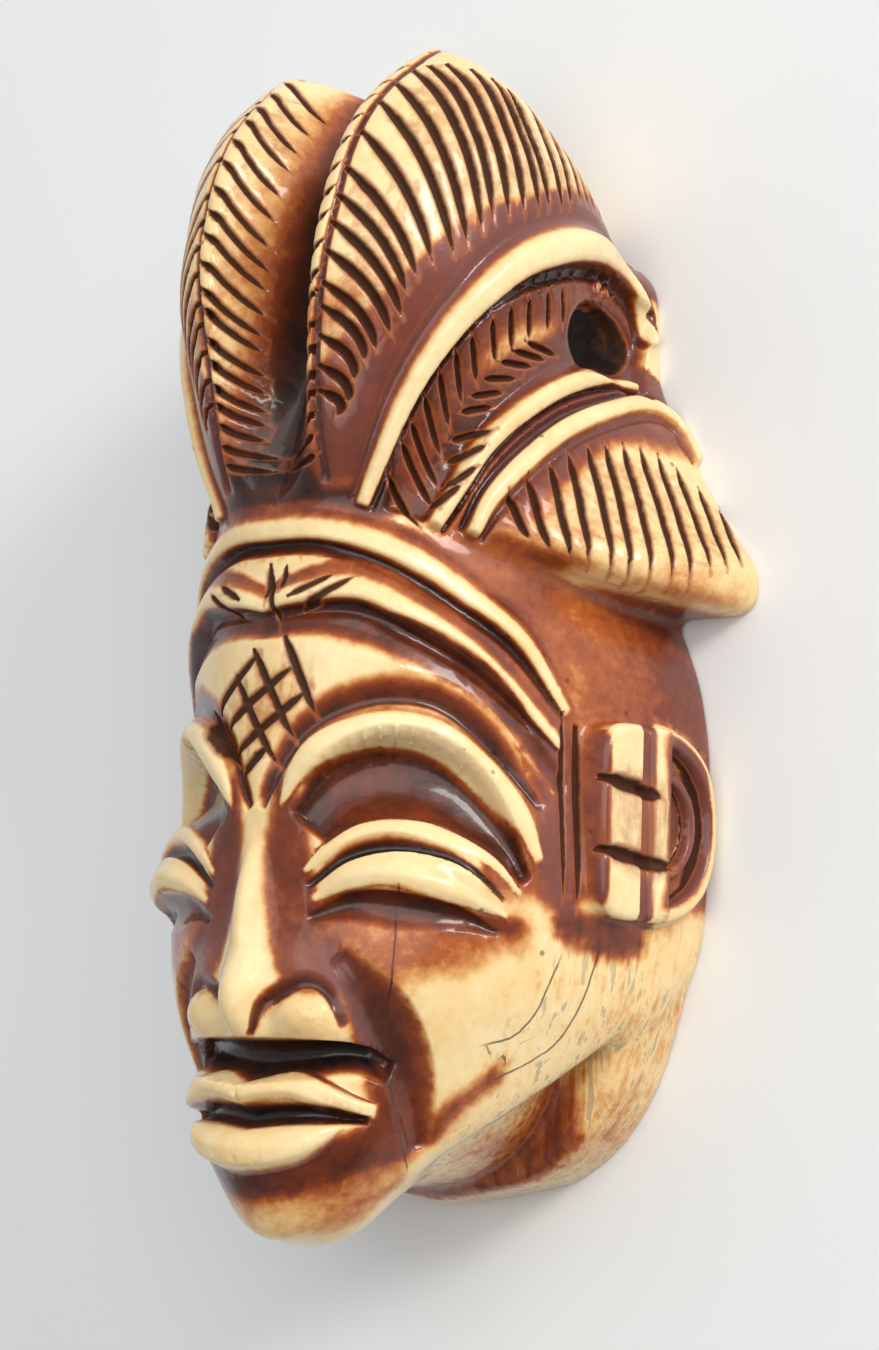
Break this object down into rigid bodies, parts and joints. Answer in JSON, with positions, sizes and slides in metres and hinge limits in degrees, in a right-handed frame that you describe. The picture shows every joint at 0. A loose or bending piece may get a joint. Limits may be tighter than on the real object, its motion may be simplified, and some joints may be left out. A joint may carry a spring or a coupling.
{
  "type": "carved miniature mask",
  "caption": "Small carved mask with closed eyes, a two-lobed crest and side buns, flat behind so that it lies on its back.",
  "frame": {"origin": "centre of the flat back, at the middle of the overall length and width", "axes": "+Y towards the crown, +Z out of the face, +X towards the mask's own left"},
  "size_m": [0.0622, 0.114, 0.0399],
  "materials": {
    "stained_bone": "polished cream bone, stained red-brown in the hollows and strokes"
  },
  "bodies": {
    "root": {"mask": "stained_bone"}
  },
  "joints": []
}
